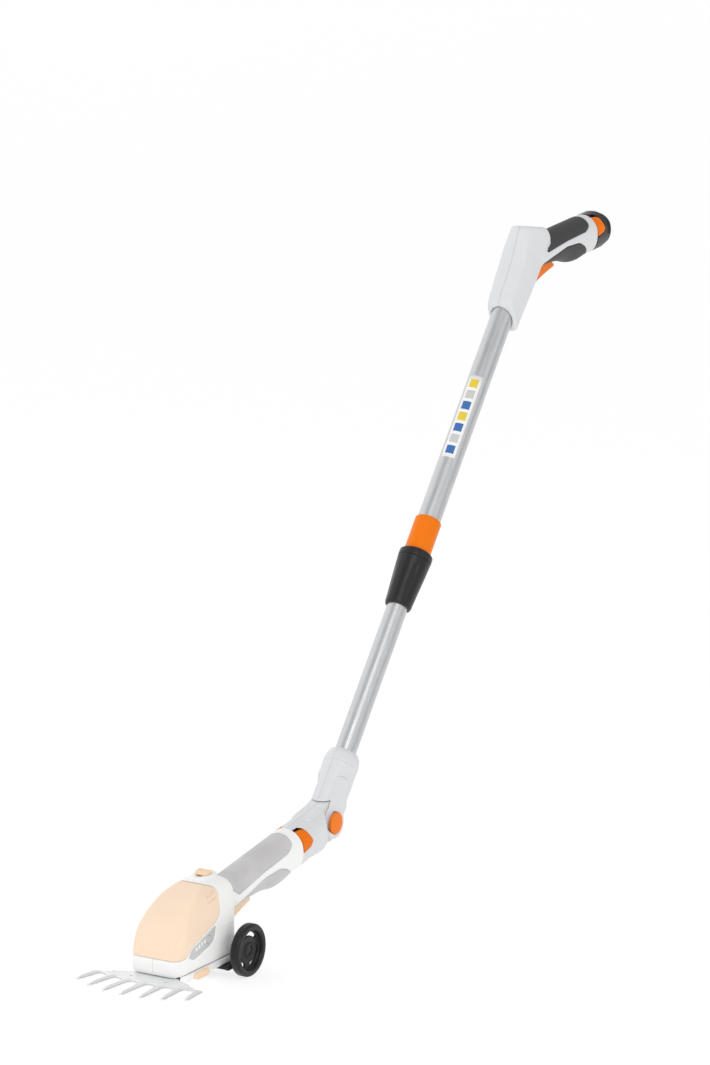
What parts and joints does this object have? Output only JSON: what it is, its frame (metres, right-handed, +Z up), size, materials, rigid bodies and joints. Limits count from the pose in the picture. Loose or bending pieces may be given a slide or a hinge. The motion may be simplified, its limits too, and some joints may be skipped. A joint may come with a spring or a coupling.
{
  "type": "pole hedge trimmer",
  "caption": "Cordless shear head on a tilting knuckle and telescopic pole, with support wheels and a rear grip with a battery.",
  "frame": {"origin": "on the ground under the middle of the whole tool, on its middle plane, where the wheels stand at Z = 0", "axes": "+X across the tool towards its left side, +Y from the blades to the battery end, +Z up"},
  "size_m": [0.145, 1.0887, 0.7574],
  "materials": {
    "shaft_shell": "fine moulded texture",
    "head_shell": "fine moulded texture",
    "head_cover": "fine moulded texture",
    "orange_trim": "satin moulded",
    "pale_trim": "satin moulded",
    "dark_grip": "soft-touch",
    "pale_grip": "soft-touch",
    "black_plastic": "moulded",
    "wheel_black": "moulded",
    "tube": "brushed along its length",
    "steel": "machined",
    "blade_steel": "ground and polished",
    "contact_brass": "plain",
    "board": "printed board",
    "display": "clear over white",
    "panel": "satin"
  },
  "bodies": {
    "handle": {"handle_shell_left": "shaft_shell", "handle_shell_right": "shaft_shell", "handle_grip_pad": "dark_grip", "handle_lower_pad": "dark_grip", "handle_screws": "steel", "handle_switch": "black_plastic", "handle_contacts": "contact_brass", "upper_tube": "tube", "collar_sleeve": "orange_trim", "clamp_collet": "black_plastic"},
    "handle_trigger": {"handle_trigger": "orange_trim"},
    "battery": {"battery_case": "black_plastic", "battery_cells": "steel"},
    "battery_latch_left": {"battery_latch_left": "orange_trim"},
    "battery_latch_right": {"battery_latch_right": "orange_trim"},
    "twist_sleeve": {"twist_sleeve": "black_plastic"},
    "pole": {"lower_tube": "tube", "glide_bush": "black_plastic", "arm_shell_left": "shaft_shell", "arm_shell_right": "shaft_shell", "knuckle_pin": "steel", "arm_screws": "steel", "button_springs": "steel"},
    "lock_button_left": {"lock_button_left": "orange_trim"},
    "lock_button_right": {"lock_button_right": "orange_trim"},
    "adapter": {"adapter_shell_left": "shaft_shell", "adapter_shell_right": "shaft_shell", "adapter_plug": "black_plastic", "adapter_contacts": "contact_brass", "locking_ring": "steel"},
    "adapter_latch_left": {"adapter_latch_left": "orange_trim"},
    "adapter_latch_right": {"adapter_latch_right": "orange_trim"},
    "shear": {"shear_shell_left": "head_shell", "shear_shell_right": "head_shell", "top_cover": "head_cover", "shear_grip_pad": "pale_grip", "shear_lower_pad": "pale_grip", "charge_panel": "panel", "charge_leds": "display", "motor": "steel", "gearbox_plate": "steel", "gear_axle": "steel", "control_board": "board", "shear_switch": "black_plastic", "base_plate": "head_shell", "lower_blade": "blade_steel", "blade_bolt": "steel", "wheel_bracket": "black_plastic", "wheel_axles": "steel", "axle_clips": "steel", "shear_screws": "steel"},
    "shear_trigger": {"shear_trigger": "pale_trim"},
    "thumb_slider": {"thumb_slider": "pale_trim"},
    "charge_button": {"charge_button": "panel"},
    "blade_latch": {"blade_latch": "pale_trim"},
    "upper_blade": {"upper_blade": "blade_steel"},
    "crank_gear": {"crank_gear": "steel"},
    "motor_pinion": {"motor_pinion": "steel"},
    "wheel_left": {"wheel_left": "wheel_black"},
    "wheel_right": {"wheel_right": "wheel_black"}
  },
  "joints": [
    {"name": "handle_trigger_pull", "type": "hinge", "parent": "handle", "child": "handle_trigger", "pos_m": [0, 0.40306, 0.70705], "axis": [-1, 0, 0], "range_deg": [0, 8], "stiffness_Nm_per_rad": 0.6, "springref_deg": -8.59},
    {"name": "battery_slide", "type": "slide", "parent": "handle", "child": "battery", "axis": [0, 0.9925, 0.1219], "range_m": [0, 0.08]},
    {"name": "battery_latch_left_press", "type": "slide", "parent": "battery", "child": "battery_latch_left", "axis": [-1, 0, 0], "range_m": [0, 0.002], "stiffness_N_per_m": 400, "springref_m": -0.002},
    {"name": "battery_latch_right_press", "type": "slide", "parent": "battery", "child": "battery_latch_right", "axis": [1, 0, 0], "range_m": [0, 0.002], "stiffness_N_per_m": 400, "springref_m": -0.002},
    {"name": "sleeve_twist", "type": "hinge", "parent": "handle", "child": "twist_sleeve", "pos_m": [0, 0.04812, 0.34506], "axis": [0, 0.6239, 0.7815], "range_deg": [0, 90]},
    {"name": "pole_extend", "type": "slide", "parent": "handle", "child": "pole", "axis": [0, -0.6239, -0.7815], "range_m": [0, 0.15]},
    {"name": "head_angle", "type": "hinge", "parent": "pole", "child": "adapter", "pos_m": [0, -0.13905, 0.1106], "axis": [1, 0, 0], "range_deg": [-3, 122]},
    {"name": "lock_button_left_press", "type": "slide", "parent": "pole", "child": "lock_button_left", "axis": [-1, 0, 0], "range_m": [0, 0.0025], "stiffness_N_per_m": 400, "springref_m": -0.002},
    {"name": "lock_button_right_press", "type": "slide", "parent": "pole", "child": "lock_button_right", "axis": [1, 0, 0], "range_m": [0, 0.0025], "stiffness_N_per_m": 400, "springref_m": -0.002},
    {"name": "adapter_latch_left_press", "type": "slide", "parent": "adapter", "child": "adapter_latch_left", "axis": [-1, 0, 0], "range_m": [0, 0.002], "stiffness_N_per_m": 400, "springref_m": -0.002},
    {"name": "adapter_latch_right_press", "type": "slide", "parent": "adapter", "child": "adapter_latch_right", "axis": [1, 0, 0], "range_m": [0, 0.002], "stiffness_N_per_m": 400, "springref_m": -0.002},
    {"name": "head_release", "type": "slide", "parent": "adapter", "child": "shear", "axis": [0, -0.9863, -0.165], "range_m": [0, 0.08]},
    {"name": "shear_trigger_pull", "type": "hinge", "parent": "shear", "child": "shear_trigger", "pos_m": [0, -0.30804, 0.06863], "axis": [-1, 0, 0], "range_deg": [0, 8], "stiffness_Nm_per_rad": 0.6, "springref_deg": -8.59},
    {"name": "thumb_slide", "type": "slide", "parent": "shear", "child": "thumb_slider", "axis": [0, -1, 0], "range_m": [0, 0.005], "stiffness_N_per_m": 150, "springref_m": -0.002},
    {"name": "charge_button_press", "type": "slide", "parent": "shear", "child": "charge_button", "axis": [-1, 0, 0], "range_m": [0, 0.0006], "stiffness_N_per_m": 600, "springref_m": -0.0005},
    {"name": "blade_latch_pull", "type": "slide", "parent": "shear", "child": "blade_latch", "axis": [0, 1, 0], "range_m": [0, 0.006], "stiffness_N_per_m": 400, "springref_m": -0.003},
    {"name": "blade_swing", "type": "hinge", "parent": "shear", "child": "upper_blade", "pos_m": [0, -0.46185, 0.0175], "axis": [0, 0, 1], "range_deg": [-5, 5]},
    {"name": "crank_spin", "type": "hinge", "parent": "shear", "child": "crank_gear", "pos_m": [0, -0.44135, 0.031], "axis": [0, 0, 1], "continuous": true},
    {"name": "pinion_spin", "type": "hinge", "parent": "shear", "child": "motor_pinion", "pos_m": [0, -0.41885, 0.031], "axis": [0, 0, 1], "continuous": true},
    {"name": "wheel_left_spin", "type": "hinge", "parent": "shear", "child": "wheel_left", "pos_m": [0.051, -0.37385, 0.0292], "axis": [1, 0, 0], "continuous": true},
    {"name": "wheel_right_spin", "type": "hinge", "parent": "shear", "child": "wheel_right", "pos_m": [-0.051, -0.37385, 0.0292], "axis": [1, 0, 0], "continuous": true}
  ],
  "couplings": [
    {"joint": "pinion_spin", "follows": "crank_spin", "ratio": -4}
  ]
}
